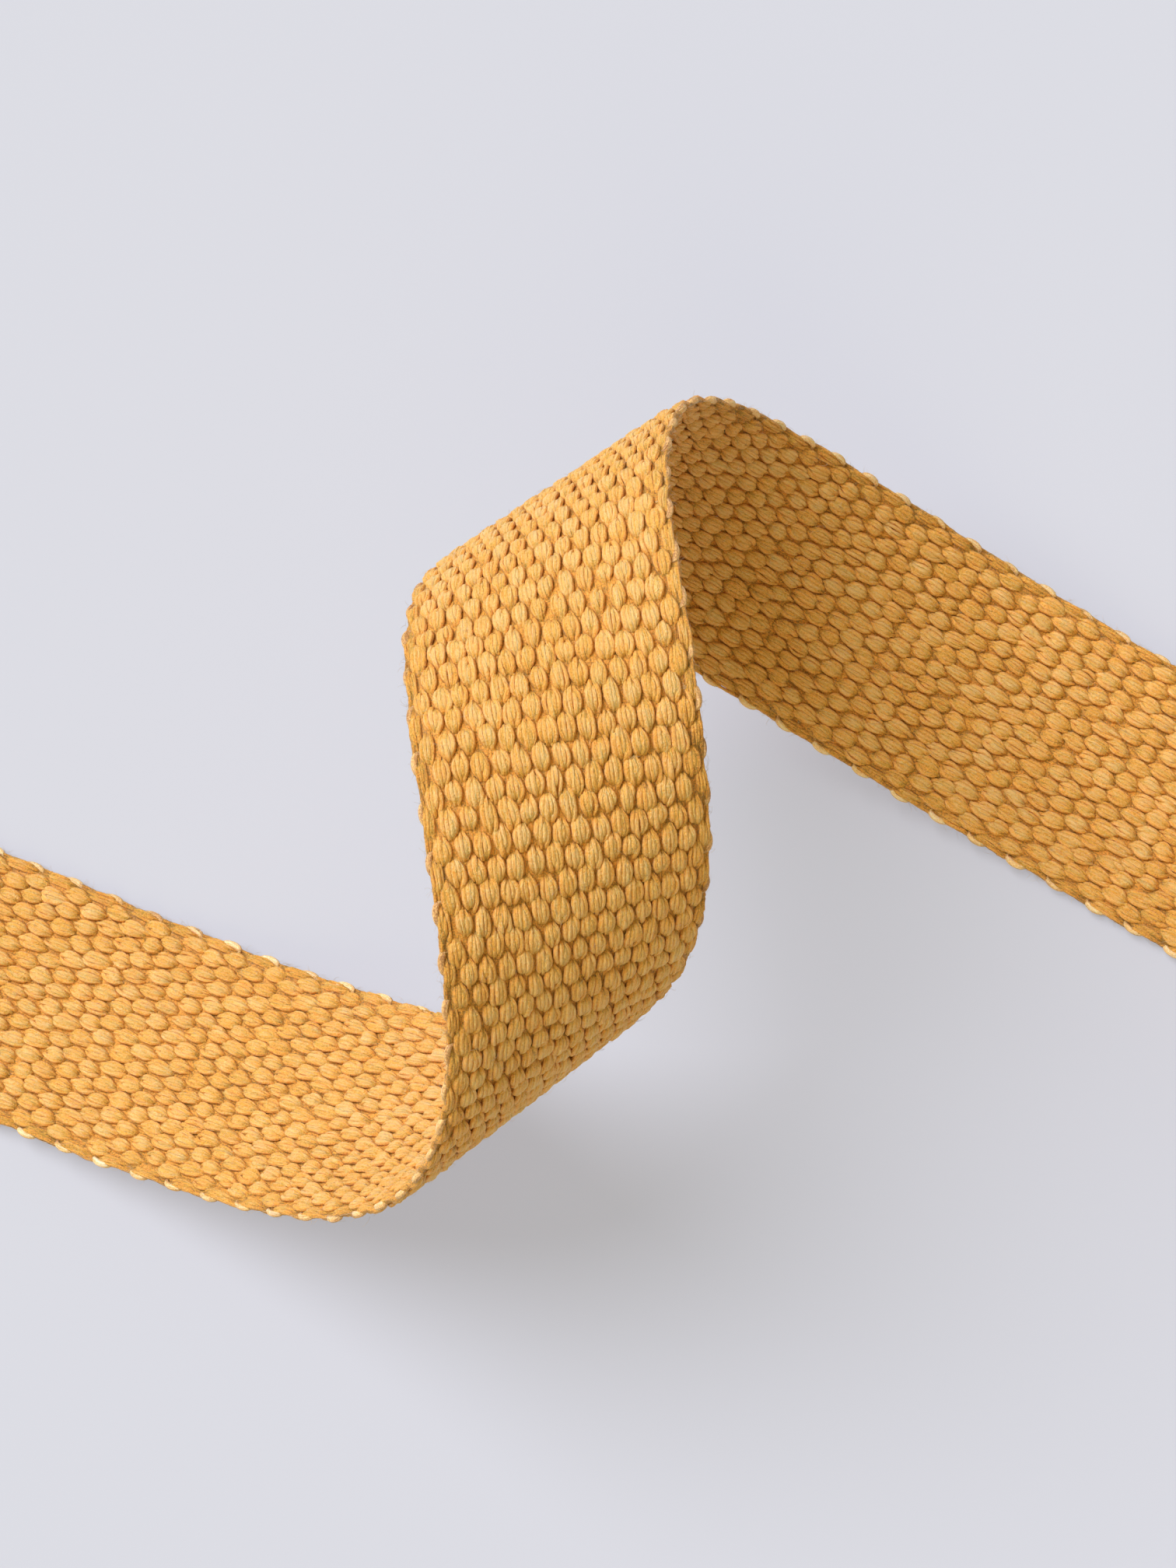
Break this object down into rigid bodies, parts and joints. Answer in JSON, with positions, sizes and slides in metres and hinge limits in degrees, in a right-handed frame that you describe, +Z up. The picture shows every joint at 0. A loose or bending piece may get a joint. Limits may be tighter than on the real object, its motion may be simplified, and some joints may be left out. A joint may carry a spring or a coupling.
{
  "type": "martial arts belt",
  "caption": "Flat belt of coarse woven cotton webbing, lying with one standing loop, its spare length rolled up and tied, and its free tip turned back and box-stitched.",
  "frame": {"origin": "centre of the belt's bounding box, at the level of the surface that it lies on", "axes": "+X along the belt's longest extent, from the free tip towards the roll; +Z up from the surface that it lies on"},
  "size_m": [0.3808, 0.1244, 0.0922],
  "materials": {
    "webbing": "coarse plain-woven cotton, golden orange, matt and slightly fuzzy",
    "thread": "twisted sewing thread, a lighter golden orange",
    "tape": "narrow undyed cotton tape, matt"
  },
  "bodies": {
    "root": {"webbing_run": "webbing", "webbing_roll": "webbing", "hem_needle_thread": "thread", "hem_bobbin_thread": "thread", "tie_tape": "tape", "tie_knot": "tape"}
  },
  "joints": []
}
